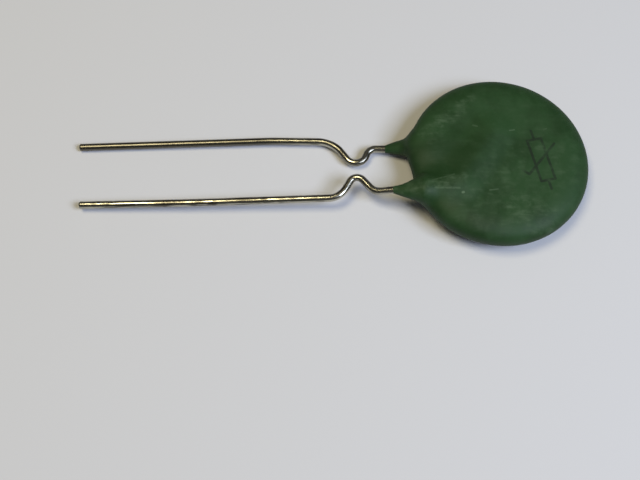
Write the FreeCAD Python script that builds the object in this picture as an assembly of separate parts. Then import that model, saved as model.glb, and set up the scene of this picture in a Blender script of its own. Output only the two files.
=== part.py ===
import FreeCAD, Part
import math
import os

# A leaded disc thermistor of the kind that limits a switch-on surge: a ceramic disc with a silver electrode on
# each face, a tinned copper lead soldered across each electrode, and one dip coating of resin over all of it.
# Sizes are in millimetres. The part lies on a table at z = 0, as it comes to rest: the leads point towards -X,
# the front lead is soldered to the upper face, and the back lead to the face that lies against the table.

V = FreeCAD.Vector
FRONT = 1
BACK = -1

# Ceramic disc
disc_diameter = 20.0
disc_thickness = 2.4
disc_edge_chamfer = 0.15

# Silver electrodes, with a rim of bare ceramic left round them
electrode_margin = 0.5
electrode_thickness = 0.05

# Lead wire
wire_diameter = 0.9
tip_chamfer = 0.1

# Solder along the wire on each electrode: its half width, its film under the wire and cover over it, and how far
# it runs from the wire's turn towards the edge and past the wire's end
solder_half_width = 0.85
solder_film = 0.05
solder_cover = 0.15
solder_run = 2.4
solder_past_end = 0.2

# Dip coating: its cover over the electrodes, round the disc's edge and over the wires, and the rounding at the foot
# of the ridge over each wire
face_cover = 0.75
rim_cover = 1.0
wire_cover = 0.45
ridge_fillet = 1.2

# Run-downs, where the coating has crept out along each lead: its thickness on the wire at the tip, how far in from
# the coated edge it begins, its half thickness there, and how suddenly it rises from the disc's middle level
rundown_skin = 0.08
rundown_root = 3.2
rundown_root_depth = 1.6
rundown_rise = 2.0
rundown_sections = 6

# Each lead is bent at a few places. A place is how far it lies beyond the coated disc's edge, how far it lies
# sideways of the disc's centre, the gap under the wire, and the bend's radius. The kink keeps the coated disc
# clear of the board that the leads are pushed into.
front_tip = (39.70, -5.18, 0.55, 0)
front_shoulder = (8.05, -4.68, 1.90, 1.6)
front_kink = (6.20, -1.87, 2.15, 0.7)
front_exit = (4.01, -4.04, 2.40, 1.1)
back_tip = (40.45, 2.88, 0.10, 0)
back_bow = (16.50, 3.62, 0.35, 40)
back_shoulder = (9.12, 3.46, 0.45, 1.7)
back_kink = (5.86, -0.52, 0.52, 1.35)
back_exit = (4.74, 2.44, 0.60, 0.8)

# On the disc's face a wire comes in over the ceramic's edge, turns and ends. A place is how far it lies from the
# disc's centre towards the leads' tips, and sideways.
edge_clearance = 0.5
edge_bend = 1.5
turn_bend = 1.2
front_edge_across = -4.55
front_turn = (5.10, -3.65)
front_end = (0.90, 3.00)
back_edge_across = 2.35
back_turn = (5.10, 1.90)
back_end = (0.90, -4.65)

# How far each run-down reaches out from the coated edge, and how much it widens towards the disc on its outer and
# inner sides, each with how suddenly it does so
front_rundown = 1.95
front_outer_flare = (2.3, 1.25)
front_inner_flare = (2.7, 1.8)
back_rundown = 2.4
back_outer_flare = (4.85, 1.8)
back_inner_flare = (2.0, 1.4)

# Sizes that follow from those above
disc_radius = disc_diameter / 2
wire_radius = wire_diameter / 2
electrode_radius = disc_radius - electrode_margin
electrode_top = disc_thickness / 2 + electrode_thickness
wire_level = electrode_top + solder_film + wire_radius
ridge_radius = wire_radius + wire_cover
coating_radius = disc_radius + rim_cover
coating_half = electrode_top + face_cover
flat_radius = coating_radius - coating_half

lead_bends = {
    FRONT: [front_tip, front_shoulder, front_kink, front_exit],
    BACK: [back_tip, back_bow, back_shoulder, back_kink, back_exit],
}
edge_across = {FRONT: front_edge_across, BACK: back_edge_across}
turn_place = {FRONT: front_turn, BACK: back_turn}
end_place = {FRONT: front_end, BACK: back_end}
rundown_reach = {FRONT: front_rundown, BACK: back_rundown}
outer_flare = {FRONT: front_outer_flare, BACK: back_outer_flare}
inner_flare = {FRONT: front_inner_flare, BACK: back_inner_flare}


def on_disc(place, side):
    """A place on the disc's face at the level of the wire's centre."""
    return V(-place[0], place[1], side * wire_level)


def edge_point(side):
    """Where the wire bends down outside the ceramic's edge."""
    across = edge_across[side]
    return on_disc((math.sqrt(disc_radius ** 2 - across ** 2) + edge_clearance, across), side)


def turn_point(side):
    """Where the wire turns on the disc's face."""
    return on_disc(turn_place[side], side)


def end_point(side):
    """Where the wire ends on the disc's face."""
    return on_disc(end_place[side], side)


def rest_placement():
    """Lays the coated disc on the ridge over its back lead and on its own rim."""
    turn = turn_point(BACK)
    end = end_point(BACK)
    along = (end - turn).normalize()
    downhill = V(-along.y, along.x, 0)
    centre_from_ridge = -turn.dot(downhill)
    if centre_from_ridge < 0:
        downhill = -downhill
        centre_from_ridge = -centre_from_ridge
    drop = wire_level + ridge_radius - coating_half
    run = centre_from_ridge + flat_radius
    lean = FreeCAD.Rotation(V(0, 0, 1).cross(downhill), math.degrees(math.atan2(drop, run)))
    height = ridge_radius - lean.multVec(end).z
    return FreeCAD.Placement(V(0, 0, height), lean)


rest = rest_placement()


def laid(shape):
    """A piece of the disc in its place over the table."""
    shape.Placement = rest
    return shape


def rounded_path(corners):
    """A path of straight runs with a tangent arc of the given radius at each inner corner."""
    edges = []
    start = corners[0][0]
    for (before, _), (corner, radius), (after, _) in zip(corners, corners[1:], corners[2:]):
        inward = (before - corner).normalize()
        outward = (after - corner).normalize()
        half_turn = (math.pi - inward.getAngle(outward)) / 2
        reach = radius * math.tan(half_turn)
        bisector = (inward + outward).normalize()
        arc_start = corner + inward * reach
        arc_middle = corner + bisector * (radius / math.cos(half_turn) - radius)
        arc_end = corner + outward * reach
        edges.append(Part.LineSegment(start, arc_start).toShape())
        edges.append(Part.Arc(arc_start, arc_middle, arc_end).toShape())
        start = arc_end
    edges.append(Part.LineSegment(start, corners[-1][0]).toShape())
    return Part.Wire(edges)


def tube(path, radius):
    """A round bar of the given radius along a path."""
    first = path.Edges[0]
    profile = Part.Wire(Part.makeCircle(radius, path.Vertexes[0].Point, first.tangentAt(first.FirstParameter)))
    return path.makePipeShell([profile], True, False)


def lead(side):
    """One bent lead, from its free tip to its inner end, in its place over the table."""
    corners = []
    for beyond, across, gap, radius in lead_bends[side]:
        corners.append((V(-coating_radius - beyond, across, gap + wire_radius), radius))
    corners.append((rest.multVec(edge_point(side)), edge_bend))
    corners.append((rest.multVec(turn_point(side)), turn_bend))
    corners.append((rest.multVec(end_point(side)), 0))
    bar = tube(rounded_path(corners), wire_radius)
    tip = corners[0][0]
    tip_edges = [e for e in bar.Edges if e.CenterOfMass.distanceToPoint(tip) < wire_radius / 2 and e.isClosed()]
    return bar.makeChamfer(tip_chamfer, tip_edges)


def ceramic_disc():
    """The sintered disc, with its sharp edges broken."""
    blank = Part.makeCylinder(disc_radius, disc_thickness, V(0, 0, -disc_thickness / 2))
    rims = [e for e in blank.Edges if isinstance(e.Curve, Part.Circle)]
    return blank.makeChamfer(disc_edge_chamfer, rims)


def electrode(side):
    """A thin round layer of silver on one face."""
    start = V(0, 0, side * disc_thickness / 2)
    return Part.makeCylinder(electrode_radius, electrode_thickness, start, V(0, 0, side))


def solder(side):
    """A long bead of solder over the wire on one electrode, before the wire is cut from it."""
    turn = turn_point(side)
    start = turn + (edge_point(side) - turn).normalize() * solder_run
    end = end_point(side) + (end_point(side) - turn).normalize() * solder_past_end
    level = wire_level + wire_radius + solder_cover - solder_half_width
    middle = [V(point.x, point.y, side * level) for point in (start, turn, end)]
    bead = Part.makeSphere(solder_half_width, middle[0])
    for near, far in zip(middle, middle[1:]):
        run = Part.makeCylinder(solder_half_width, near.distanceToPoint(far), near, far - near)
        bead = bead.fuse([run, Part.makeSphere(solder_half_width, far)])
    above = Part.makeCylinder(electrode_radius, wire_diameter * 2, V(0, 0, side * electrode_top), V(0, 0, side))
    return bead.common(above)


def ridge(side):
    """The raised ridge of coating over the wire on one face, before its foot is rounded."""
    path = rounded_path([(edge_point(side), 0), (turn_point(side), turn_bend), (end_point(side), 0)])
    balls = [Part.makeSphere(ridge_radius, point) for point in (edge_point(side), end_point(side))]
    return tube(path, ridge_radius).fuse(balls)


def coated_body():
    """The coated disc without its ridges and run-downs: flat faces and a full round at the edge."""
    top = V(0, 0, coating_half)
    bottom = V(0, 0, -coating_half)
    edge_top = V(flat_radius, 0, coating_half)
    edge_bottom = V(flat_radius, 0, -coating_half)
    outline = Part.Wire([
        Part.LineSegment(bottom, edge_bottom).toShape(),
        Part.Arc(edge_bottom, V(coating_radius, 0, 0), edge_top).toShape(),
        Part.LineSegment(edge_top, top).toShape(),
        Part.LineSegment(top, bottom).toShape(),
    ])
    return Part.Face(outline).revolve(V(0, 0, 0), V(0, 0, 1), 360)


def ridged_body():
    """The coated disc with a ridge over each wire, and the foot of each ridge rounded into the face."""
    blank = coated_body().fuse([ridge(FRONT), ridge(BACK)]).removeSplitter()
    feet = []
    for edge in blank.Edges:
        kinds = {face.Surface.TypeId for face in blank.ancestorsOfType(edge, Part.Face)}
        if kinds == {"Part::GeomPlane", "Part::GeomCylinder"}:
            feet.append(edge)
    return blank.makeFillet(ridge_fillet, feet)


def run_down(side):
    """The coating's run-down on one lead: a thin collar at its tip that flares into the edge of the coated disc."""
    start = edge_point(side)
    beyond, across, gap, _ = lead_bends[side][-1]
    lead_exit = rest.inverse().multVec(V(-coating_radius - beyond, across, gap + wire_radius))
    outward = (lead_exit - start).normalize()
    collar = wire_radius + rundown_skin
    tip = coating_radius + rundown_reach[side]
    root = coating_radius - rundown_root
    outer_widening, outer_power = outer_flare[side]
    inner_widening, inner_power = inner_flare[side]
    rings = []
    for step in range(rundown_sections):
        share = step / (rundown_sections - 1)
        distance = tip + (root - tip) * share
        on_wire = start - outward * ((distance + start.x) / outward.x)
        outer = collar + outer_widening * share ** outer_power
        inner = collar + inner_widening * share ** inner_power
        depth = collar + (rundown_root_depth - collar) * share
        towards_outside = math.copysign((outer - inner) / 2, start.y)
        shape = FreeCAD.Matrix()
        shape.scale(1, (outer + inner) / 2, depth)
        shape.move(on_wire.x, on_wire.y + towards_outside, on_wire.z * (1 - share ** rundown_rise))
        rings.append(Part.Wire(Part.makeCircle(1, V(0, 0, 0), V(1, 0, 0)).transformGeometry(shape)))
    return Part.makeLoft(rings, True, False)


def resin_coating(inner_pieces):
    """The dip coating: its outer form, hollowed by everything that was dipped."""
    outer = ridged_body().fuse([run_down(FRONT), run_down(BACK)])
    return laid(outer).cut(inner_pieces)


front_lead = lead(FRONT)
back_lead = lead(BACK)
pieces = {
    "front_lead": front_lead,
    "back_lead": back_lead,
    "ceramic_disc": laid(ceramic_disc()),
    "front_electrode": laid(electrode(FRONT)),
    "back_electrode": laid(electrode(BACK)),
    "front_solder": laid(solder(FRONT)).cut(front_lead),
    "back_solder": laid(solder(BACK)).cut(back_lead),
}
pieces["resin_coating"] = resin_coating(list(pieces.values()))

# The origin is the middle of the part's footprint, on the table
footprint = Part.makeCompound(list(pieces.values())).optimalBoundingBox(False)
to_origin = V(-footprint.Center.x, -footprint.Center.y, -footprint.ZMin)

os.makedirs("parts", exist_ok=True)
for name, shape in pieces.items():
    shape.translate(to_origin)
    shape.exportStep("parts/" + name + ".step")
    print(name, "volume %.3f" % shape.Volume, "solids", len(shape.Solids), "valid", shape.isValid())
print("origin moved by", to_origin)
print("overall", footprint)
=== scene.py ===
import math

import bpy
import numpy as np
from bpy.props import FloatProperty, FloatVectorProperty, IntProperty, PointerProperty
from mathutils import Matrix, Vector


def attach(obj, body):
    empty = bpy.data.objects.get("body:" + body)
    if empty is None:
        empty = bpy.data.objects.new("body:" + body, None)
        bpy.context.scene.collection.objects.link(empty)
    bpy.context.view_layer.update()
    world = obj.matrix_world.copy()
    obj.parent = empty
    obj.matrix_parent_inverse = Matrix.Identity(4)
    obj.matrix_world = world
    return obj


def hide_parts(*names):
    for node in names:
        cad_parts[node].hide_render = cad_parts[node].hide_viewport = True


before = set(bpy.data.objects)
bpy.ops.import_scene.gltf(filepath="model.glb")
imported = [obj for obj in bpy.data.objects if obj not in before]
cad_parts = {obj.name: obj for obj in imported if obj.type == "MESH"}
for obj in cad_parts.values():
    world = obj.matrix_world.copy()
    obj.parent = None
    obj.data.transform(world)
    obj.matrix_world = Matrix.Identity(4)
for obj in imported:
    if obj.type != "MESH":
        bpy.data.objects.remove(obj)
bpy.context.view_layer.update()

bl_info = {
    "name": "Disc Thermistor",
    "version": (1, 0, 0),
    "blender": (4, 5, 0),
    "location": "3D View > Sidebar > Thermistor",
    "description": "Dresses the packed solids of a dip-coated disc thermistor with wire leads",
    "category": "Add Mesh",
}

MM = 0.001


def hex_colour(text):
    """An sRGB hex value as the linear colour that a shader socket takes."""
    parts = [int(text[i:i + 2], 16) / 255 for i in (1, 3, 5)]
    linear = [c / 12.92 if c <= 0.04045 else ((c + 0.055) / 1.055) ** 2.4 for c in parts]
    return (*linear, 1.0)


def add(tree, kind, inputs=(), **settings):
    """Adds a node with its settings. An input is named or numbered, and takes a value, a socket, or a node,
    which gives its first output that is in use."""
    node = tree.nodes.new(kind)
    for name, value in settings.items():
        setattr(node, name, value)
    for where, source in dict(inputs).items():
        if isinstance(source, bpy.types.Node):
            source = next(socket for socket in source.outputs if socket.enabled)
        if isinstance(source, bpy.types.NodeSocket):
            tree.links.new(source, node.inputs[where])
        else:
            node.inputs[where].default_value = source
    return node


def new_tree(name, inputs, outputs):
    """A Geometry Nodes tree with named inputs and outputs, and the sockets that bring its inputs."""
    tree = bpy.data.node_groups.new(name, "GeometryNodeTree")
    for direction, sockets in (("INPUT", inputs), ("OUTPUT", outputs)):
        for label, kind, *default in sockets:
            socket = tree.interface.new_socket(label, in_out=direction, socket_type="NodeSocket" + kind)
            if default:
                socket.default_value = default[0]
    return tree, add(tree, "NodeGroupInput").outputs


def grow(name, mesh, tree, values):
    """Runs a tree on a mesh and gives the result as a plain object, with its faces smooth."""
    piece = bpy.data.objects.new(name, mesh)
    bpy.context.scene.collection.objects.link(piece)
    modifier = piece.modifiers.new(tree.name, "NODES")
    modifier.node_group = tree
    for item in tree.interface.items_tree:
        if item.item_type == "SOCKET" and item.in_out == "INPUT" and item.name in values:
            modifier[item.identifier] = values[item.name]
    bpy.context.view_layer.update()
    result = bpy.data.meshes.new_from_object(piece.evaluated_get(bpy.context.evaluated_depsgraph_get()))
    if not result.polygons:
        raise RuntimeError(f"{name}: the tree {tree.name} gave no faces")
    piece.modifiers.remove(modifier)
    piece.data = result
    result.name = name
    result.shade_smooth()
    return piece


def path_mesh(name, points, **numbers):
    """A chain of vertices and edges, with a number of each given name on every vertex."""
    mesh = bpy.data.meshes.new(name)
    mesh.from_pydata(points, [(i, i + 1) for i in range(len(points) - 1)], [])
    for label, values in numbers.items():
        mesh.attributes.new(label, "FLOAT", "POINT").data.foreach_set("value", values)
    return mesh


def tree_values(sizes):
    """A group's settings under their shown names, which a tree's inputs share. Lengths are in millimetres."""
    values = {}
    for name in sizes.__annotations__:
        setting = sizes.bl_rna.properties[name]
        value = getattr(sizes, name)
        values[setting.name] = value / MM if setting.subtype == "DISTANCE" else value
    return values


def disc_place():
    """The matrix from the disc's own place, centred and level, to where the ceramic disc lies."""
    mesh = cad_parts["ceramic_disc"].data
    flat = max(mesh.polygons, key=lambda polygon: polygon.area)
    normal = flat.normal if flat.normal.z > 0 else -flat.normal
    lean = Vector((0, 0, 1)).rotation_difference(normal).to_matrix()
    corners = np.array([lean.inverted() @ v.co for v in mesh.vertices])
    centre = Vector((corners.min(0) + corners.max(0)) / 2)
    return Matrix.Translation(lean @ centre) @ lean.to_4x4()


DISC_PLACE = disc_place()

# The leads' corners, in millimetres: place, and the bend's radius. The free ones follow the solids', moved a
# little, rounded more and with one bow added, so that the wires lie as the photograph shows them. The last
# three of each are the solids' own. They lie on the disc's face, at the level of the wire's centre, and are
# measured from the disc's centre.
FRONT_FREE = [
    ((-30.465, -5.13, 1.0015), 0.0),
    ((-17.10, -5.08, 1.5715), 40.0),
    ((1.05, -4.75, 2.3515), 2.4),
    ((2.92, -1.50, 2.6015), 0.95),
    ((5.10, -4.17, 2.8515), 1.8),
]
FRONT_ON_DISC = [((-9.405, -4.55, 1.75), 1.5), ((-5.10, -3.65, 1.75), 1.2), ((-0.90, 3.00, 1.75), 0.0)]
BACK_FREE = [
    ((-31.209, 2.86, 0.5515), 0.0),
    ((-7.265, 3.62, 0.8015), 40.0),
    ((0.22, 3.46, 0.9015), 3.8),
    ((3.50, -0.98, 0.9715), 1.35),
    ((4.66, 2.42, 1.0515), 1.2),
]
BACK_ON_DISC = [((-10.220, 2.35, -1.75), 1.5), ((-5.10, 1.90, -1.75), 1.2), ((-0.90, -4.65, -1.75), 0.0)]

# How far each run-down reaches from the disc's centre, how widely its inner and its outer side flow into
# the rim, how far it spreads to each side where it meets the disc, and how its flare is curved. All but the
# curves are in millimetres.
FRONT_RUN_DOWN = {
    "reach": 12.73, "webs": (2.01, 0.80),
    "flare": {"Outer reach": 1.56, "Inner reach": 2.00, "Outer curve": 0.87, "Inner curve": 1.37},
}
BACK_RUN_DOWN = {
    "reach": 13.35, "webs": (1.72, 1.40),
    "flare": {"Outer reach": 1.16, "Inner reach": 1.32, "Outer curve": 0.70, "Inner curve": 0.96},
}
# How a run-down's depth grows, and how far to each side of its middle the inner side turns into the outer one
DEPTH_CURVE, SIDE_BLEND = 1.2, 0.8
# The hump where a wire comes onto the face, in millimetres: how far past the wire's corner at the disc's edge
# it starts, its radius, and how high its top lies over the mid-plane where it starts and at the wire's turn
HUMP_START, HUMP_RADIUS, HUMP_TOPS = 1.0, 1.9, (2.38, 2.1)
# The squareness that makes the lower edge an ellipse, and how far to each side of the mid-plane the upper
# form turns into the lower one
ELLIPSE, MIDDLE_BLEND = 2.0, 0.3
# How far from the disc's centre a ridge has sunk into the edge, and where it starts to sink
RIDGE_GONE, RIDGE_FULL = 10.8, 8.8
# How far from the disc's centre a lead still flows into the disc narrowly, and from where on widely
NARROW_TO, WIDE_FROM = 9.5, 11.5
# The box that the coating's surface is looked for in, and how far apart two places are when the slope of the
# distance is measured between them, in millimetres
FIELD_LOW, FIELD_HIGH = Vector((-14.0, -11.5, -3.2)), Vector((11.5, 11.5, 3.2))
SLOPE_STEP = 0.02
# Points that round each bend of a wire
BEND_POINTS = 24

# Strokes on the upper face, as start, end, half width, soft edge and strength. The lengths are in millimetres
# from the disc's centre. The pale places are a band on the upper left, partly worn and partly a painted
# highlight along the rim's shoulder, and painted light: a patch at the lower right where the edge is lit, a
# broad faint one between them, and the front run-down.
LIT_AND_RUBBED = [
    ((-8.6, 2.4), (-3.6, 7.3), 0.3, 1.6, 0.55),
    ((1.6, -6.9), (5.2, -8.6), 0.9, 2.4, 0.55),
    ((-2.0, -6.0), (5.0, -1.0), 2.0, 5.0, 0.30),
    ((-12.2, -4.3), (-9.2, -4.6), 0.5, 0.9, 0.60),
]
# How much the whole coating is worn, how strongly the crest over the front wire is made pale as a painted
# highlight with some wear, and how pale these places get
RUBBED_ALL_OVER, CREST_HIGHLIGHT_AND_WEAR, PALE_PLACES_SHARE = 0.10, 0.6, 0.7
# Painted shade: the resin's colour is made darker between the leads, in the hollow where shade falls
SHADE_BETWEEN_LEADS = [((-9.8, -0.8), (-6.4, -1.2), 0.9, 2.6, 1.0)]
# Short pale scratches, and painted highlights: a glint in a small pit beside the ridge's end, the ridge's two
# shiny edges, and a patch where the ridge turns
NICKS_AND_GLINTS = [
    ((-4.90, -5.24), (-4.78, -5.20), 0.08, 0.12, 1.0),
    ((1.30, 3.20), (1.90, 3.36), 0.03, 0.12, 0.45),
    ((5.50, 3.52), (5.86, 3.62), 0.03, 0.12, 0.35),
    ((-1.62, -4.77), (-0.66, -4.63), 0.03, 0.12, 0.45),
    ((-3.10, 3.90), (-2.60, 3.70), 0.03, 0.12, 0.35),
    ((-8.40, -3.78), (-5.75, -2.94), 0.03, 0.14, 0.35),
    ((-8.10, -4.74), (-5.25, -4.72), 0.04, 0.16, 0.45),
    ((-5.90, -3.50), (-5.20, -3.60), 0.30, 0.50, 0.22),
]
# The generic sign that is stamped on the upper face: a resistor's box with its two ends, and the stroke
# across it with a short foot
MARK = [
    ((3.35, 1.90), (5.05, 2.30), 0.10, 0.12, 1.0),
    ((5.05, 2.30), (6.30, -3.10), 0.10, 0.12, 1.0),
    ((6.30, -3.10), (4.60, -3.50), 0.10, 0.12, 1.0),
    ((4.60, -3.50), (3.35, 1.90), 0.10, 0.12, 1.0),
    ((4.20, 2.10), (3.93, 3.27), 0.10, 0.12, 1.0),
    ((5.45, -3.30), (5.72, -4.47), 0.10, 0.12, 1.0),
    ((2.55, -2.10), (3.25, -2.60), 0.10, 0.12, 1.0),
    ((3.25, -2.60), (6.60, 1.60), 0.10, 0.12, 1.0),
]
INK_COVER = 0.68
# How far tarnish covers a streak, and the back wire towards its tip
STREAK_TARNISH, TIP_TARNISH = 0.85, 0.80
# What a millimetre along the wire counts for in its streaks and lines, which draws them out
DRAWN_OUT = 0.14

FLOOR_HALF_WIDTH = 0.6
SENSOR_WIDTH = 36.0
CAMERA_TARGET = Vector((-1.359, -9.267, 0.0)) * MM
# Each lamp's place and width in metres, and its colour
LAMPS = {
    "window": ((0.215, -0.118, 0.285), 0.17, "#DCE7FF"),
    "ceiling": ((-0.095, 0.01, 0.350), 0.14, "#FFF2C8"),
}


class ThermistorCoatingSizes(bpy.types.PropertyGroup):
    """Sizes and colours of the dip coating."""

    flat_radius: FloatProperty(
        name="Flat radius", description="Radius of the flat of the upper face",
        default=7.4 * MM, subtype="DISTANCE", unit="LENGTH")
    under_radius: FloatProperty(
        name="Under radius", description="Radius of the flat of the lower face",
        default=8.98 * MM, subtype="DISTANCE", unit="LENGTH")
    disc_radius: FloatProperty(
        name="Disc radius", description="Radius of the coated disc",
        default=11.0 * MM, subtype="DISTANCE", unit="LENGTH")
    edge_squareness: FloatProperty(
        name="Edge squareness", description="How the upper edge is rounded: 2 gives an ellipse",
        default=2.4, min=1.5, max=6)
    half_thickness: FloatProperty(
        name="Half thickness", description="Half the coated disc's thickness",
        default=2.0 * MM, subtype="DISTANCE", unit="LENGTH")
    ridge_height: FloatProperty(
        name="Ridge height", description="How far the resin over a wire stands proud",
        default=0.45 * MM, subtype="DISTANCE", unit="LENGTH")
    ridge_reach: FloatProperty(
        name="Ridge reach", description="How far a ridge spreads to each side",
        default=3.2 * MM, subtype="DISTANCE", unit="LENGTH")
    foot: FloatProperty(
        name="Foot", description="How widely a hump runs into the face",
        default=0.8 * MM, subtype="DISTANCE", unit="LENGTH")
    collar_radius: FloatProperty(
        name="Collar radius", description="Radius of the coating at a run-down's tip",
        default=0.475 * MM, subtype="DISTANCE", unit="LENGTH")
    root_depth: FloatProperty(
        name="Root depth", description="Half the depth of a run-down where it meets the disc",
        default=1.45 * MM, subtype="DISTANCE", unit="LENGTH")
    root_height: FloatProperty(
        name="Root height", description="From the wire's centre to the top of that root",
        default=0.73 * MM, subtype="DISTANCE", unit="LENGTH")
    rim_hollow: FloatProperty(
        name="Rim hollow", description="How far the rim draws back between the leads",
        default=0.33 * MM, subtype="DISTANCE", unit="LENGTH")
    valley_depth: FloatProperty(
        name="Valley depth", description="Depth of the hollow beside the long ridge",
        default=0.10 * MM, subtype="DISTANCE", unit="LENGTH")
    waviness: FloatProperty(
        name="Waviness", description="Height of the slow waves in the face",
        default=0.05 * MM, subtype="DISTANCE", unit="LENGTH")
    cell: FloatProperty(
        name="Cell", description="Size of the cells that the surface is found in",
        default=0.125 * MM, subtype="DISTANCE", unit="LENGTH")
    resin: FloatVectorProperty(
        name="Resin", description="Colour of the resin",
        size=4, subtype="COLOR", min=0, max=1, default=hex_colour("#234120"))
    resin_dark: FloatVectorProperty(
        name="Dark resin", description="Colour of the resin's darker clouds",
        size=4, subtype="COLOR", min=0, max=1, default=hex_colour("#1A3516"))
    # Also the colour of the painted highlights and painted light on the face, besides real wear
    pale_resin: FloatVectorProperty(
        name="Scuffed resin", description="Colour of the resin where it is rubbed",
        size=4, subtype="COLOR", min=0, max=1, default=hex_colour("#5F7459"))
    ink: FloatVectorProperty(
        name="Ink", description="Colour of the stamped sign",
        size=4, subtype="COLOR", min=0, max=1, default=hex_colour("#141A14"))


class ThermistorLeadSizes(bpy.types.PropertyGroup):
    """Sizes and colours of the leads."""

    diameter: FloatProperty(
        name="Diameter", description="Thickness of the wire",
        default=0.898 * MM, subtype="DISTANCE", unit="LENGTH")
    chamfer: FloatProperty(
        name="Tip chamfer", description="How far the cut end is dulled",
        default=0.1 * MM, subtype="DISTANCE", unit="LENGTH")
    step: FloatProperty(
        name="Step", description="Distance between rings of the wire's mesh",
        default=0.1 * MM, subtype="DISTANCE", unit="LENGTH")
    sides: IntProperty(name="Sides", description="Faces round the wire", default=28, min=8, max=64)
    tin: FloatVectorProperty(
        name="Tin", description="Colour of the tinned wire",
        size=4, subtype="COLOR", min=0, max=1, default=hex_colour("#BDBAAB"))
    tarnish: FloatVectorProperty(
        name="Tarnish", description="Colour of the wire's darker streaks",
        size=4, subtype="COLOR", min=0, max=1, default=hex_colour("#454139"))


class ThermistorStageSizes(bpy.types.PropertyGroup):
    """The camera, the floor and the lamps."""

    focal: FloatProperty(
        name="Focal length", description="Focal length in picture widths", default=950 / 640)
    elevation: FloatProperty(
        name="Elevation", description="How far the camera looks down",
        default=math.radians(68.73), subtype="ANGLE", unit="ROTATION")
    distance: FloatProperty(
        name="Distance", description="From the camera to the point it looks at",
        default=114.32 * MM, subtype="DISTANCE", unit="LENGTH")
    floor: FloatVectorProperty(
        name="Floor", description="Colour of the floor",
        size=4, subtype="COLOR", min=0, max=1, default=hex_colour("#CDCDCF"))
    window: FloatProperty(
        name="Window", description="Power of the cool lamp from the lower right",
        default=1.26, unit="POWER")
    ceiling: FloatProperty(
        name="Ceiling", description="Power of the warm lamp nearly overhead", default=0.62, unit="POWER")
    room: FloatProperty(name="Room", description="Strength of the light from all round", default=0.09)


def along_segment(tree, place, start, end):
    """Follows a segment. Gives the way from its start to a place, how far along the segment that place lies
    as a share of the whole, and the way from the start to the segment's nearest point."""
    along = add(tree, "ShaderNodeVectorMath", {0: end, 1: start}, operation="SUBTRACT")
    out = add(tree, "ShaderNodeVectorMath", {0: place, 1: start}, operation="SUBTRACT")
    reach = add(tree, "ShaderNodeVectorMath", {0: out, 1: along}, operation="DOT_PRODUCT")
    whole = add(tree, "ShaderNodeVectorMath", {0: along, 1: along}, operation="DOT_PRODUCT")
    share = add(tree, "ShaderNodeMath", {0: reach, 1: whole}, operation="DIVIDE", use_clamp=True)
    nearest = add(tree, "ShaderNodeVectorMath", {0: along, "Scale": share}, operation="SCALE")
    return out, share, nearest


def faded(tree, strength, *limits):
    """A strength that fades out at each limit. A limit is a source, its value where the strength is nothing,
    and its value where the strength is full."""
    for source, nothing, full in limits:
        share = add(tree, "ShaderNodeMapRange", {"Value": source, "From Min": nothing, "From Max": full},
                    interpolation_type="SMOOTHSTEP")
        strength = add(tree, "ShaderNodeMath", {0: strength, 1: share}, operation="MULTIPLY")
    return strength


def ridge_tree():
    """The distance to a tapered round bar between two points, as resin lies over a straight run of wire."""
    tree, given = new_tree(
        "Distance to a ridge",
        [("Position", "Vector"), ("Start", "Vector"), ("End", "Vector"), ("Start radius", "Float"),
         ("End radius", "Float")],
        [("Distance", "Float")])
    out, share, nearest = along_segment(tree, given["Position"], given["Start"], given["End"])
    away = add(tree, "ShaderNodeVectorMath", {0: out, 1: nearest}, operation="DISTANCE")
    radius = add(tree, "ShaderNodeMapRange", {"Value": share, "To Min": given["Start radius"],
                                              "To Max": given["End radius"]})
    distance = add(tree, "ShaderNodeMath", {0: away, 1: radius}, operation="SUBTRACT")
    add(tree, "NodeGroupOutput", {"Distance": distance})
    return tree


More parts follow.
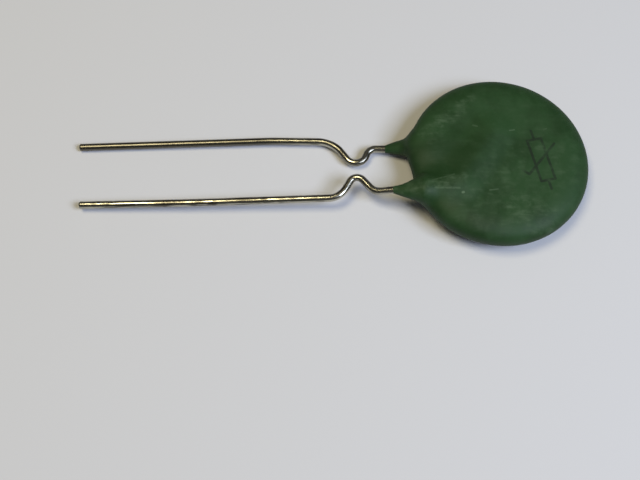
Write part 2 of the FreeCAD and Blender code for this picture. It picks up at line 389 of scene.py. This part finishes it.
def run_down_tree():
    """The distance to a run-down: thin at its tip on the wire, and flaring towards the disc, by its own
    amount on its outer and its inner side, while its depth grows to the disc's thickness. Also gives how
    far to the outer side a place lies."""
    numbers = ("Collar radius", "Root depth", "Outer reach", "Inner reach", "Outer curve", "Inner curve")
    tree, given = new_tree(
        "Distance to a run-down",
        [("Position", "Vector"), ("Tip", "Vector"), ("Root", "Vector"), ("Outward", "Vector")]
        + [(n, "Float") for n in numbers],
        [("Distance", "Float"), ("Outer share", "Float")])
    out, share, nearest = along_segment(tree, given["Position"], given["Tip"], given["Root"])
    sideways = add(tree, "ShaderNodeVectorMath", {0: out, 1: given["Outward"]}, operation="DOT_PRODUCT")
    outer = add(tree, "ShaderNodeMapRange", {
        "Value": sideways, "From Min": -SIDE_BLEND, "From Max": SIDE_BLEND}, interpolation_type="SMOOTHSTEP")
    reaches = []
    for far, curve in (("Inner reach", given["Inner curve"]), ("Outer reach", given["Outer curve"]),
                       ("Root depth", DEPTH_CURVE)):
        bent = add(tree, "ShaderNodeMath", {0: share, 1: curve}, operation="POWER")
        reaches.append(add(tree, "ShaderNodeMapRange", {
            "Value": bent, "To Min": given["Collar radius"], "To Max": given[far]}))
    inner_reach, outer_reach, depth = reaches
    width = add(tree, "ShaderNodeMapRange", {"Value": outer, "To Min": inner_reach, "To Max": outer_reach})
    # The way sideways is scaled from the run-down's width to its depth, so that its section is a round one
    squeeze = add(tree, "ShaderNodeMath", {0: depth, 1: width}, operation="DIVIDE")
    squeeze = add(tree, "ShaderNodeMath", {0: squeeze, 1: 1.0}, operation="SUBTRACT")
    squeeze = add(tree, "ShaderNodeMath", {0: squeeze, 1: sideways}, operation="MULTIPLY")
    squeezed = add(tree, "ShaderNodeVectorMath", {0: given["Outward"], "Scale": squeeze}, operation="SCALE")
    away = add(tree, "ShaderNodeVectorMath", {0: out, 1: nearest}, operation="SUBTRACT")
    away = add(tree, "ShaderNodeVectorMath", {0: away, 1: squeezed}, operation="ADD")
    away = add(tree, "ShaderNodeVectorMath", {0: away}, operation="LENGTH")
    distance = add(tree, "ShaderNodeMath", {0: away, 1: depth}, operation="SUBTRACT")
    add(tree, "NodeGroupOutput", {"Distance": distance, "Outer share": outer})
    return tree


def coating_field_tree(leads):
    """How far a place is outside the dipped resin: a disc whose upper face bends over gently to a round
    edge, a soft ridge over each wire, a flaring run-down on each lead, and a hollow beside the long ridge.
    Lengths are millimetres from the disc's centre."""
    sizes = ("Flat radius", "Under radius", "Disc radius", "Edge squareness", "Half thickness",
             "Ridge height", "Ridge reach", "Foot", "Collar radius", "Root depth", "Valley depth",
             "Rim hollow", "Waviness")
    tree, given = new_tree(
        "Distance to the coating", [("Position", "Vector")] + [(s, "Float") for s in sizes],
        [("Distance", "Float"), ("From the front wire", "Float")])
    position = given["Position"]
    x, y, z = add(tree, "ShaderNodeSeparateXYZ", {0: position}).outputs
    level = add(tree, "ShaderNodeCombineXYZ", {0: x, 1: y})
    from_axis = add(tree, "ShaderNodeVectorMath", {0: level}, operation="LENGTH")
    # The lower face is flatter than the upper one and its edge is a plain ellipse, so that the part rests
    # on the floor as the solids do
    under = add(tree, "ShaderNodeMapRange", {
        "Value": z, "From Min": MIDDLE_BLEND, "From Max": -MIDDLE_BLEND}, interpolation_type="SMOOTHSTEP")
    flat = add(tree, "ShaderNodeMapRange", {"Value": under, "To Min": given["Flat radius"],
                                            "To Max": given["Under radius"]})
    squareness = add(tree, "ShaderNodeMapRange", {"Value": under, "To Min": given["Edge squareness"],
                                                  "To Max": ELLIPSE})
    past_flat = add(tree, "ShaderNodeMath", {0: from_axis, 1: flat}, operation="SUBTRACT")
    past_flat = add(tree, "ShaderNodeMath", {0: past_flat, 1: 0.0}, operation="MAXIMUM")
    rim = add(tree, "ShaderNodeMath", {0: given["Disc radius"], 1: flat}, operation="SUBTRACT")
    high = add(tree, "ShaderNodeMath", {0: z}, operation="ABSOLUTE")
    shares = []
    for reach, whole in ((past_flat, rim), (high, given["Half thickness"])):
        share = add(tree, "ShaderNodeMath", {0: reach, 1: whole}, operation="DIVIDE")
        shares.append(add(tree, "ShaderNodeMath", {0: share, 1: squareness}, operation="POWER"))
    both = add(tree, "ShaderNodeMath", dict(enumerate(shares)), operation="ADD")
    both = add(tree, "ShaderNodeMath", {0: both, 1: 1e-6}, operation="MAXIMUM")
    outward = add(tree, "ShaderNodeMath", {0: shares[0], 1: both}, operation="DIVIDE")
    size = add(tree, "ShaderNodeMapRange", {"Value": outward, "To Min": given["Half thickness"],
                                            "To Max": rim})
    power = add(tree, "ShaderNodeMath", {0: 1.0, 1: squareness}, operation="DIVIDE")
    coat = add(tree, "ShaderNodeMath", {0: both, 1: power}, operation="POWER")
    coat = add(tree, "ShaderNodeMath", {0: coat, 1: 1.0}, operation="SUBTRACT")
    coat = add(tree, "ShaderNodeMath", {0: coat, 1: size}, operation="MULTIPLY")

    # Slow waves of about 4.5 mm, left by the resin as it drained and cured
    waves = add(tree, "ShaderNodeTexNoise", {
        "Vector": position, "Scale": 0.22, "Detail": 1.0, "Roughness": 0.4})
    waves = add(tree, "ShaderNodeMapRange", {"Value": waves, "To Min": given["Waviness"], "To Max": 0.0})
    coat = add(tree, "ShaderNodeMath", {0: coat, 1: waves}, operation="ADD")

    # Between the leads the face falls away to a slightly hollow rim, where the resin drew back to them
    hollow = faded(tree, given["Rim hollow"], (y, 0.75, -1.75), (y, -5.45, -2.95), (x, -5.0, -10.4))
    coat = add(tree, "ShaderNodeMath", {0: coat, 1: hollow}, operation="ADD")

    # The broad hollow on the upper left of the front wire's long run
    turn, end = leads[0]["run"][1:]
    along = (end - turn).normalized()
    across = Vector((-along.y, along.x, 0))
    out = add(tree, "ShaderNodeVectorMath", {0: position, 1: turn}, operation="SUBTRACT")
    beside, beyond = (add(tree, "ShaderNodeVectorMath", {0: out, 1: way}, operation="DOT_PRODUCT")
                      for way in (across, along))
    hollow = faded(tree, given["Valley depth"], (beside, 0.0, 2.0), (beside, 8.0, 3.0), (beyond, 10.5, 5.5),
                   (beyond, -4.0, 0.5), (z, 0.2, 1.2))
    coat = add(tree, "ShaderNodeMath", {0: coat, 1: hollow}, operation="ADD")

    # On the face a lead only raises a soft ridge. At the edge its run-down and its hump are joined first, and
    # then flow into the disc: narrowly on the face, and widely past the edge
    ridge, run_down = ridge_tree(), run_down_tree()
    from_wires = []
    for lead in leads:
        run, side = lead["run"], lead["side"]
        bars = [add(tree, "GeometryNodeGroup", {"Position": level, "Start": start, "End": end},
                    node_tree=ridge) for start, end in zip(run, run[1:])]
        beside = add(tree, "ShaderNodeMath", dict(enumerate(bars)), operation="MINIMUM")
        from_wires.append(beside)
        height = add(tree, "ShaderNodeMapRange", {
            "Value": beside, "From Min": given["Ridge reach"], "From Max": 0.0,
            "To Max": given["Ridge height"]}, interpolation_type="SMOOTHSTEP")
        height = faded(tree, height, (z, side * 0.2, side * 1.2), (from_axis, RIDGE_GONE, RIDGE_FULL))
        coat = add(tree, "ShaderNodeMath", {0: coat, 1: height}, operation="SUBTRACT")

        flare = add(tree, "GeometryNodeGroup", {
            "Position": position, "Collar radius": given["Collar radius"], "Root depth": given["Root depth"],
            "Tip": lead["tip"], "Root": lead["root"], **lead["flare"]}, node_tree=run_down)
        start, end = lead["hump"]
        hump = add(tree, "GeometryNodeGroup", {
            "Position": position, "Start": start, "End": end, "Start radius": HUMP_RADIUS,
            "End radius": HUMP_RADIUS}, node_tree=ridge)
        raised = add(tree, "ShaderNodeMath", {0: flare, 1: hump, 2: given["Foot"]}, operation="SMOOTH_MIN")
        inner_web, outer_web = lead["webs"]
        web = add(tree, "ShaderNodeMapRange", {"Value": flare.outputs["Outer share"], "To Min": inner_web,
                                               "To Max": outer_web})
        spread = add(tree, "ShaderNodeMapRange", {
            "Value": from_axis, "From Min": NARROW_TO, "From Max": WIDE_FROM, "To Min": given["Foot"],
            "To Max": web}, interpolation_type="SMOOTHSTEP")
        coat = add(tree, "ShaderNodeMath", {0: coat, 1: raised, 2: spread}, operation="SMOOTH_MIN")
    add(tree, "NodeGroupOutput", {"Distance": coat, "From the front wire": from_wires[0]})
    return tree


def coating_tree(leads):
    """The coating's surface: cells are filled by the distance field, and the found surface is then moved
    onto the field's zero, so that no cell shows."""
    field = coating_field_tree(leads)
    sizes = [item.name for item in field.interface.items_tree
             if item.in_out == "INPUT" and item.name != "Position"]
    tree, given = new_tree(
        "Dip coating",
        [("Geometry", "Geometry")] + [(s, "Float") for s in sizes]
        + [("Low corner", "Vector", FIELD_LOW), ("High corner", "Vector", FIELD_HIGH), ("Cells X", "Int"),
           ("Cells Y", "Int"), ("Cells Z", "Int"), ("Material", "Material")],
        [("Geometry", "Geometry")])

    def field_at(spot):
        inputs = {size: given[size] for size in sizes}
        return add(tree, "GeometryNodeGroup", {"Position": spot, **inputs}, node_tree=field)

    place = add(tree, "GeometryNodeInputPosition")
    inside = add(tree, "ShaderNodeMath", {0: 0.5, 1: field_at(place)}, operation="SUBTRACT")
    cells = add(tree, "GeometryNodeVolumeCube", {
        "Density": inside, "Background": -1.0, "Min": given["Low corner"], "Max": given["High corner"],
        "Resolution X": given["Cells X"], "Resolution Y": given["Cells Y"], "Resolution Z": given["Cells Z"]})
    shape = add(tree, "GeometryNodeVolumeToMesh", {"Volume": cells, "Threshold": 0.5})
    for _ in range(2):
        here = field_at(place)
        slopes = []
        for axis in range(3):
            step = [0.0, 0.0, 0.0]
            step[axis] = SLOPE_STEP
            beside = add(tree, "ShaderNodeVectorMath", {0: place, 1: step}, operation="ADD")
            rise = add(tree, "ShaderNodeMath", {0: field_at(beside), 1: here}, operation="SUBTRACT")
            slopes.append(add(tree, "ShaderNodeMath", {0: rise, 1: 1 / SLOPE_STEP}, operation="MULTIPLY"))
        slope = add(tree, "ShaderNodeCombineXYZ", dict(enumerate(slopes)))
        steepness = add(tree, "ShaderNodeVectorMath", {0: slope, 1: slope}, operation="DOT_PRODUCT")
        back = add(tree, "ShaderNodeMath", {0: here, 1: steepness}, operation="DIVIDE")
        back = add(tree, "ShaderNodeMath", {0: back, 1: -1.0}, operation="MULTIPLY")
        move = add(tree, "ShaderNodeVectorMath", {0: slope, "Scale": back}, operation="SCALE")
        shape = add(tree, "GeometryNodeSetPosition", {"Geometry": shape, "Offset": move})
    shape = add(tree, "GeometryNodeStoreNamedAttribute", {
        "Geometry": shape, "Name": "from_wire", "Value": field_at(place).outputs["From the front wire"]})
    shape = add(tree, "GeometryNodeRealizeInstances", {0: shape})
    shape = add(tree, "GeometryNodeSetMaterial", {"Geometry": shape, "Material": given["Material"]})
    add(tree, "NodeGroupOutput", {0: shape})
    return tree


def lead_tree():
    """A bent wire: the chain's corners are rounded, and a round section follows it. Each vertex keeps how far
    along the wire and how far round it lies, for the drawn streaks."""
    tree, given = new_tree(
        "Bent wire",
        [("Geometry", "Geometry"), ("Diameter", "Float"), ("Tip chamfer", "Float"), ("Step", "Float"),
         ("Sides", "Int"), ("Material", "Material")],
        [("Geometry", "Geometry")])
    bend = add(tree, "GeometryNodeInputNamedAttribute", {"Name": "bend"})
    path = add(tree, "GeometryNodeMeshToCurve", {"Mesh": given["Geometry"]})
    path = add(tree, "GeometryNodeFilletCurve", {"Curve": path, "Radius": bend, "Count": BEND_POINTS},
               mode="POLY")
    path = add(tree, "GeometryNodeResampleCurve", {"Curve": path, "Length": given["Step"]}, mode="LENGTH")
    from_start = add(tree, "GeometryNodeSplineParameter").outputs["Length"]
    past_chamfer = add(tree, "ShaderNodeMath", {0: from_start, 1: given["Tip chamfer"]}, operation="SUBTRACT")
    cut_back = add(tree, "ShaderNodeMath", {0: past_chamfer, 1: 0.0}, operation="MINIMUM")
    radius = add(tree, "ShaderNodeMath", {0: given["Diameter"], 1: 0.5, 2: cut_back},
                 operation="MULTIPLY_ADD")
    path = add(tree, "GeometryNodeSetCurveRadius", {"Curve": path, "Radius": radius})
    path = add(tree, "GeometryNodeStoreNamedAttribute", {
        "Geometry": path, "Name": "along", "Value": from_start})
    ring = add(tree, "GeometryNodeCurvePrimitiveCircle", {"Resolution": given["Sides"], "Radius": 1.0})
    round_share = add(tree, "GeometryNodeSplineParameter").outputs["Factor"]
    turn = add(tree, "ShaderNodeMath", {0: round_share, 1: math.tau}, operation="MULTIPLY")
    for name, operation in (("round_cos", "COSINE"), ("round_sin", "SINE")):
        part = add(tree, "ShaderNodeMath", {0: turn}, operation=operation)
        ring = add(tree, "GeometryNodeStoreNamedAttribute", {"Geometry": ring, "Name": name, "Value": part})
    wire = add(tree, "GeometryNodeCurveToMesh", {
        "Curve": path, "Profile Curve": ring, "Scale": add(tree, "GeometryNodeInputRadius"),
        "Fill Caps": True})
    wire = add(tree, "GeometryNodeRealizeInstances", {0: wire})
    wire = add(tree, "GeometryNodeSetMaterial", {"Geometry": wire, "Material": given["Material"]})
    add(tree, "NodeGroupOutput", {0: wire})
    return tree


def new_material(name):
    """An empty material and its node tree."""
    material = bpy.data.materials.new(name)
    material.use_nodes = True
    material.node_tree.nodes.clear()
    return material, material.node_tree


def shade(tree, inputs):
    """Gives a material its shader, with what the shader's own inputs take."""
    shader = add(tree, "ShaderNodeBsdfPrincipled", inputs)
    add(tree, "ShaderNodeOutputMaterial", {"Surface": shader})


def strokes(tree, place, marks):
    """Straight strokes with soft edges on the disc's upper face, the strongest at each place."""
    whole = None
    for start, end, half_width, soft, strength in marks:
        out, _, nearest = along_segment(tree, place, Vector((*start, 0)), Vector((*end, 0)))
        away = add(tree, "ShaderNodeVectorMath", {0: out, 1: nearest}, operation="DISTANCE")
        one = add(tree, "ShaderNodeMapRange", {
            "Value": away, "From Min": half_width + soft, "From Max": half_width, "To Max": strength},
            interpolation_type="SMOOTHSTEP")
        whole = add(tree, "ShaderNodeMath", {0: whole, 1: one}, operation="MAXIMUM") if whole else one
    return whole


def resin_material(sizes):
    """Filled resin, dipped and cured: a dark green that is half matt, because the filler stands a little
    proud of the resin and scatters the light. It is cloudy and has the slow orange peel of a cured dip. It is
    worn paler where other parts touched it in the bag, and carries painted light: painted highlights on the
    crest, the ridge's edges and the face's lit places, and painted shade between the leads."""
    material, tree = new_material("dipped_resin")
    place = add(tree, "ShaderNodeTexCoord").outputs["Object"]
    # Millimetres from the disc's centre, so that every scale below is one over a real size in millimetres
    place = add(tree, "ShaderNodeVectorMath", {0: place, 1: DISC_PLACE.translation}, operation="SUBTRACT")
    place = add(tree, "ShaderNodeVectorMath", {0: place, "Scale": 1 / MM}, operation="SCALE")
    x, y, z = add(tree, "ShaderNodeSeparateXYZ", {0: place}).outputs
    on_face = add(tree, "ShaderNodeCombineXYZ", {0: x, 1: y})
    from_wire = add(tree, "ShaderNodeAttribute", attribute_name="from_wire").outputs["Fac"]
    upper_face = (z, 1.2, 1.5)

    # Clouds of 5 mm, where the filler settled unevenly, and flecks of filler of 0.25 mm. The scratches are
    # 0.4 mm wide and 2 mm long, and the smudges 1.4 mm
    stretch = add(tree, "ShaderNodeMapping", {"Vector": place, "Rotation": (0, 0, math.radians(12)),
                                              "Scale": (0.5, 2.4, 1.0)})
    clouds, flecks, scratches, smudges = (
        add(tree, "ShaderNodeTexNoise", {
            "Vector": source, "Scale": scale, "Detail": detail, "Roughness": roughness})
        for source, scale, detail, roughness in (
            (place, 0.2, 4.0, 0.6), (place, 4.0, 3.0, 0.7), (stretch, 1.0, 3.0, 0.55),
            (place, 0.7, 4.0, 0.6)))
    cloudy = faded(tree, 1.0, (clouds, 0.35, 0.65))
    # Painted shade: the share of the lighter resin is cut between the leads, so the colour there goes darker
    lighter = add(tree, "ShaderNodeMath", {0: cloudy, 1: strokes(tree, on_face, SHADE_BETWEEN_LEADS)},
                  operation="SUBTRACT", use_clamp=True)
    colour = add(tree, "ShaderNodeMix", {"Factor": lighter, "A": sizes.resin_dark[:], "B": sizes.resin[:]},
                 data_type="RGBA")

    # Pale places, broken up into scratches and smudges: real wear, painted light on the lit places of the
    # face and on the front run-down, and a painted highlight on the crest over the front wire
    crest = faded(tree, 1.0, (from_wire, 1.5, 0.3), (y, -2.2, -3.2), (x, -11.0, -9.0), upper_face)
    pale_wear_and_light = add(tree, "ShaderNodeMath", {0: strokes(tree, on_face, LIT_AND_RUBBED), 1: RUBBED_ALL_OVER},
                 operation="MAXIMUM")
    crest_highlight_and_wear = add(tree, "ShaderNodeMath", {0: crest, 1: CREST_HIGHLIGHT_AND_WEAR}, operation="MULTIPLY")
    pale_wear_and_light = add(tree, "ShaderNodeMath", {0: pale_wear_and_light, 1: crest_highlight_and_wear}, operation="MAXIMUM")
    scratched = add(tree, "ShaderNodeMapRange", {
        "Value": scratches, "From Min": 0.38, "From Max": 0.72, "To Min": 0.35},
        interpolation_type="SMOOTHSTEP")
    pale_wear_and_light = add(tree, "ShaderNodeMath", {0: pale_wear_and_light, 1: scratched}, operation="MULTIPLY")
    pale_wear_and_light = faded(tree, pale_wear_and_light, (smudges, 0.35, 0.68))
    # Short pale scratches, with painted highlights: a glint in a pit, the ridge's shiny edges and a patch at
    # its turn
    nicks_and_glints = faded(tree, strokes(tree, on_face, NICKS_AND_GLINTS), upper_face, (flecks, 0.25, 0.50))
    paler = add(tree, "ShaderNodeMath", {0: pale_wear_and_light, 1: nicks_and_glints}, operation="MAXIMUM")
    paler = add(tree, "ShaderNodeMath", {0: paler, 1: PALE_PLACES_SHARE}, operation="MULTIPLY")
    colour = add(tree, "ShaderNodeMix", {"Factor": paler, "A": colour, "B": sizes.pale_resin[:]},
                 data_type="RGBA")

    # Ink, stamped where such a part carries its print: the common sign for a resistor that changes with heat,
    # worn thin by handling
    ink = add(tree, "ShaderNodeMath", {0: strokes(tree, on_face, MARK), 1: INK_COVER}, operation="MULTIPLY")
    ink = faded(tree, ink, upper_face, (smudges, 0.85, 0.35))
    colour = add(tree, "ShaderNodeMix", {"Factor": ink, "A": colour, "B": sizes.ink[:]}, data_type="RGBA")

    # The pale places, worn and painted, are duller, and the crest a little smoother
    gloss = add(tree, "ShaderNodeMapRange", {
        "Value": clouds, "From Min": 0.3, "From Max": 0.7, "To Min": 0.52, "To Max": 0.62})
    dull = add(tree, "ShaderNodeMath", {0: paler, 1: 0.20, 2: gloss}, operation="MULTIPLY_ADD")
    rough = add(tree, "ShaderNodeMath", {0: crest, 1: -0.03, 2: dull}, operation="MULTIPLY_ADD")

    # Orange peel of 0.9 mm. The filler's grain is really about 0.03 mm, and is drawn at 0.1 mm to show
    peel = add(tree, "ShaderNodeTexNoise", {"Vector": place, "Scale": 1.1, "Detail": 1.0, "Roughness": 0.4})
    grain = add(tree, "ShaderNodeTexNoise", {"Vector": place, "Scale": 10.0, "Detail": 2.0, "Roughness": 0.6})
    bumps = add(tree, "ShaderNodeBump", {"Strength": 0.5, "Distance": 0.03 * MM, "Height": peel})
    bumps = add(tree, "ShaderNodeBump", {
        "Strength": 0.35, "Distance": 0.012 * MM, "Height": grain, "Normal": bumps})
    shade(tree, {"Base Color": colour, "Roughness": rough, "Normal": bumps, "IOR": 1.5,
                 "Specular IOR Level": 0.25})
    return material


def tinned_material(sizes):
    """Tinned copper wire, drawn and then hot dipped: a soft bright grey metal. The die's fine lines run
    along it, and handling has left it darker and duller in streaks."""
    material, tree = new_material("tinned_copper")
    # The place on the wire: millimetres along it, which are drawn out for the streaks and lines, and wire
    # radii of 0.45 mm round it
    along, cos, sin = (add(tree, "ShaderNodeAttribute", attribute_name=name).outputs["Fac"]
                       for name in ("along", "round_cos", "round_sin"))
    slow = add(tree, "ShaderNodeMath", {0: along, 1: DRAWN_OUT}, operation="MULTIPLY")
    drawn_out = add(tree, "ShaderNodeCombineXYZ", {0: slow, 1: cos, 2: sin})
    place = add(tree, "ShaderNodeCombineXYZ", {0: along, 1: cos, 2: sin})
    # Streaks of about 0.2 mm by 3 mm, and patches of 2 mm. The die lines are really finer than the 0.05 mm
    # they are drawn at
    streaks, lines, patches = (
        add(tree, "ShaderNodeTexNoise", {
            "Vector": source, "Scale": scale, "Detail": detail, "Roughness": roughness})
        for source, scale, detail, roughness in (
            (drawn_out, 2.4, 4.0, 0.65), (drawn_out, 9.0, 2.0, 0.6), (place, 0.5, 3.0, 0.6)))
    tarnish = [add(tree, "ShaderNodeMapRange", {
        "Value": source, "From Min": nothing, "From Max": nothing + 0.2, "To Max": STREAK_TARNISH},
        interpolation_type="SMOOTHSTEP") for source, nothing in ((streaks, 0.42), (patches, 0.48))]
    dark = add(tree, "ShaderNodeMath", dict(enumerate(tarnish)), operation="MAXIMUM")

    # The back wire was handled more, and is dull all over towards its tip
    spot = add(tree, "ShaderNodeTexCoord").outputs["Object"]
    x, y, _ = add(tree, "ShaderNodeSeparateXYZ", {0: spot}).outputs
    dull = faded(tree, TIP_TARNISH, (y, 0.5 * MM, 1.5 * MM), (x, 0.0, -9.0 * MM))
    dark = add(tree, "ShaderNodeMath", {0: dark, 1: dull}, operation="MAXIMUM")
    colour = add(tree, "ShaderNodeMix", {"Factor": dark, "A": sizes.tin[:], "B": sizes.tarnish[:]},
                 data_type="RGBA")
    rough = add(tree, "ShaderNodeMapRange", {"Value": dark, "To Min": 0.14, "To Max": 0.30})
    bumps = add(tree, "ShaderNodeBump", {"Strength": 0.4, "Distance": 0.008 * MM, "Height": lines})
    bumps = add(tree, "ShaderNodeBump", {
        "Strength": 0.5, "Distance": 0.030 * MM, "Height": patches, "Normal": bumps})
    shade(tree, {"Base Color": colour, "Roughness": rough, "Normal": bumps, "Metallic": 1.0})
    return material


def core_material(name, light, dark, grain, rough, metal):
    """A finish of the parts under the resin: two shades that differ from grain to grain, and a matt grainy
    face. The grain's size is in millimetres, and the clouds over it are of 2.5 mm."""
    material, tree = new_material(name)
    place = add(tree, "ShaderNodeTexCoord").outputs["Object"]
    grains = add(tree, "ShaderNodeTexVoronoi", {"Vector": place, "Scale": 1 / (grain * MM)})
    clouds = add(tree, "ShaderNodeTexNoise", {"Vector": place, "Scale": 0.4 / MM, "Detail": 4.0})
    share = add(tree, "ShaderNodeMath", {0: grains, 1: clouds}, operation="MULTIPLY")
    share = faded(tree, 1.0, (share, 0.1, 0.4))
    colour = add(tree, "ShaderNodeMix", {"Factor": share, "A": hex_colour(dark), "B": hex_colour(light)},
                 data_type="RGBA")
    matt = add(tree, "ShaderNodeMapRange", {"Value": clouds, "To Min": rough - 0.1, "To Max": rough + 0.1})
    bumps = add(tree, "ShaderNodeBump", {"Strength": 0.4, "Distance": 0.01 * MM, "Height": grains})
    shade(tree, {"Base Color": colour, "Roughness": matt, "Normal": bumps, "Metallic": metal})
    return material


class THERMISTOR_OT_core(bpy.types.Operator):
    """Gives the ceramic disc, its electrodes and the solder their finishes"""

    bl_idname = "thermistor.core"
    bl_label = "Core"

    def execute(self, context):
        # Sintered manganese and nickel oxides are a matt near-black, fired silver paste is a dull white
        # metal, and set solder a greyer one
        oxide = core_material("sintered_oxide", "#4A4642", "#2E2C2A", grain=0.12, rough=0.75, metal=0.0)
        silver = core_material("fired_silver", "#D9D8D4", "#A9A8A2", grain=0.06, rough=0.45, metal=1.0)
        solder = core_material("set_solder", "#B4B5B3", "#84857F", grain=0.20, rough=0.38, metal=1.0)
        for node, material in (("ceramic_disc", oxide), ("front_electrode", silver),
                               ("back_electrode", silver), ("front_solder", solder), ("back_solder", solder)):
            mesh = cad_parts[node].data
            if not mesh.materials:
                mesh.materials.append(material)
            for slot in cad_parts[node].material_slots:
                slot.material = material
        return {"FINISHED"}


class THERMISTOR_OT_coating(bpy.types.Operator):
    """Builds the dip coating from its distance field"""

    bl_idname = "thermistor.coating"
    bl_label = "Dip Coating"

    def execute(self, context):
        sizes = context.scene.thermistor_coating
        to_disc = DISC_PLACE.inverted()
        leads = []
        for free, on_disc, run_down in ((FRONT_FREE, FRONT_ON_DISC, FRONT_RUN_DOWN),
                                        (BACK_FREE, BACK_ON_DISC, BACK_RUN_DOWN)):
            edge, turn, end = (Vector(point) for point, _ in on_disc)
            side = math.copysign(1, edge.z)
            lead_exit = to_disc @ (Vector(free[-1][0]) * MM) / MM
            forward = (lead_exit - edge) / (edge.x - lead_exit.x)
            tip = edge + forward * (run_down["reach"] + edge.x)
            outward = Vector((edge.y - tip.y, tip.x - edge.x, 0)).normalized()
            if outward.y * edge.y < 0:
                outward.negate()
            root = edge - Vector((0, 0, side * (sizes.root_depth - sizes.root_height) / MM))
            hump = [edge + (turn - edge).normalized() * HUMP_START, turn.copy()]
            for place, top in zip(hump, HUMP_TOPS):
                place.z = side * (top - HUMP_RADIUS)
            run = [place.to_2d().to_3d() for place in (edge, turn, end)]
            leads.append({"tip": tip, "root": root, "hump": hump, "run": run, "side": side,
                          "webs": run_down["webs"], "flare": {"Outward": outward, **run_down["flare"]}})
        cells = [round(length * MM / sizes.cell) for length in FIELD_HIGH - FIELD_LOW]
        values = {**tree_values(sizes), **dict(zip(("Cells X", "Cells Y", "Cells Z"), cells)),
                  "Material": resin_material(sizes)}
        seed = path_mesh("seed", [(0, 0, 0), (1, 0, 0)])
        piece = grow("dip_coating", seed, coating_tree(leads), values)
        piece.data.transform(DISC_PLACE @ Matrix.Scale(MM, 4))
        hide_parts("resin_coating")
        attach(piece, "root")
        return {"FINISHED"}


class THERMISTOR_OT_leads(bpy.types.Operator):
    """Builds both tinned leads along their bent paths"""

    bl_idname = "thermistor.leads"
    bl_label = "Leads"

    def execute(self, context):
        sizes = context.scene.thermistor_leads
        tree = lead_tree()
        values = {**tree_values(sizes), "Material": tinned_material(sizes)}
        for name, free, on_disc in (("front", FRONT_FREE, FRONT_ON_DISC), ("back", BACK_FREE, BACK_ON_DISC)):
            places = [Vector(point) for point, _ in free]
            places += [DISC_PLACE @ (Vector(point) * MM) / MM for point, _ in on_disc]
            bends = [bend for _, bend in free + on_disc]
            piece = grow(name + "_wire", path_mesh("seed", places, bend=bends), tree, values)
            piece.data.transform(Matrix.Scale(MM, 4))
            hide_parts(name + "_lead")
            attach(piece, "root")
        return {"FINISHED"}


class THERMISTOR_OT_stage(bpy.types.Operator):
    """Sets out the floor, the lamps and the camera"""

    bl_idname = "thermistor.stage"
    bl_label = "Stage"

    def execute(self, context):
        scene = context.scene
        sizes = scene.thermistor_stage
        mesh = bpy.data.meshes.new("floor")
        corners = [(x * FLOOR_HALF_WIDTH, y * FLOOR_HALF_WIDTH, 0)
                   for x, y in ((-1, -1), (1, -1), (1, 1), (-1, 1))]
        mesh.from_pydata(corners, [], [(0, 1, 2, 3)])
        floor = bpy.data.objects.new("floor", mesh)
        scene.collection.objects.link(floor)
        material, tree = new_material("floor_paper")
        shade(tree, {"Base Color": sizes.floor[:], "Roughness": 0.9})
        mesh.materials.append(material)

        camera = bpy.data.objects.new("camera", bpy.data.cameras.new("camera"))
        scene.collection.objects.link(camera)
        camera.data.sensor_width = SENSOR_WIDTH
        camera.data.lens = SENSOR_WIDTH * sizes.focal
        camera.data.clip_start = MM
        camera.rotation_euler = (math.pi / 2 - sizes.elevation, 0, 0)
        back = Vector((0, -math.cos(sizes.elevation), math.sin(sizes.elevation)))
        camera.location = CAMERA_TARGET + back * sizes.distance
        scene.camera = camera

        for name, (place, width, colour) in LAMPS.items():
            lamp = bpy.data.lights.new(name, "AREA")
            lamp.energy = getattr(sizes, name)
            lamp.size = width
            lamp.color = hex_colour(colour)[:3]
            holder = bpy.data.objects.new(name, lamp)
            holder.location = place
            holder.rotation_euler = (-Vector(place)).to_track_quat("-Z", "Y").to_euler()
            scene.collection.objects.link(holder)

        world = bpy.data.worlds.new("room")
        world.use_nodes = True
        world.node_tree.nodes.clear()
        light = add(world.node_tree, "ShaderNodeBackground", {
            "Color": hex_colour("#F4F4F2"), "Strength": sizes.room})
        add(world.node_tree, "ShaderNodeOutputWorld", {"Surface": light})
        scene.world = world
        scene.view_settings.view_transform = "Standard"
        return {"FINISHED"}


class THERMISTOR_PT_panel(bpy.types.Panel):
    """Lists the steps and their settings"""

    bl_label = "Thermistor"
    bl_space_type = "VIEW_3D"
    bl_region_type = "UI"
    bl_category = "Thermistor"

    def draw(self, context):
        for step, group in STEPS:
            box = self.layout.box()
            box.operator(step)
            settings = getattr(context.scene, group) if group else None
            for name in settings.__annotations__ if settings else ():
                box.prop(settings, name)


STEPS = (
    ("thermistor.core", None),
    ("thermistor.coating", "thermistor_coating"),
    ("thermistor.leads", "thermistor_leads"),
    ("thermistor.stage", "thermistor_stage"),
)
CLASSES = (
    ThermistorCoatingSizes, ThermistorLeadSizes, ThermistorStageSizes, THERMISTOR_OT_core,
    THERMISTOR_OT_coating, THERMISTOR_OT_leads, THERMISTOR_OT_stage, THERMISTOR_PT_panel,
)


def register():
    for kind in CLASSES:
        bpy.utils.register_class(kind)
    bpy.types.Scene.thermistor_coating = PointerProperty(type=ThermistorCoatingSizes)
    bpy.types.Scene.thermistor_leads = PointerProperty(type=ThermistorLeadSizes)
    bpy.types.Scene.thermistor_stage = PointerProperty(type=ThermistorStageSizes)


def unregister():
    del bpy.types.Scene.thermistor_coating
    del bpy.types.Scene.thermistor_leads
    del bpy.types.Scene.thermistor_stage
    for kind in reversed(CLASSES):
        bpy.utils.unregister_class(kind)


def main():
    """Builds every piece in order."""
    register()
    bpy.ops.thermistor.core()
    bpy.ops.thermistor.coating()
    bpy.ops.thermistor.leads()
    bpy.ops.thermistor.stage()


if __name__ == "__main__":
    main()
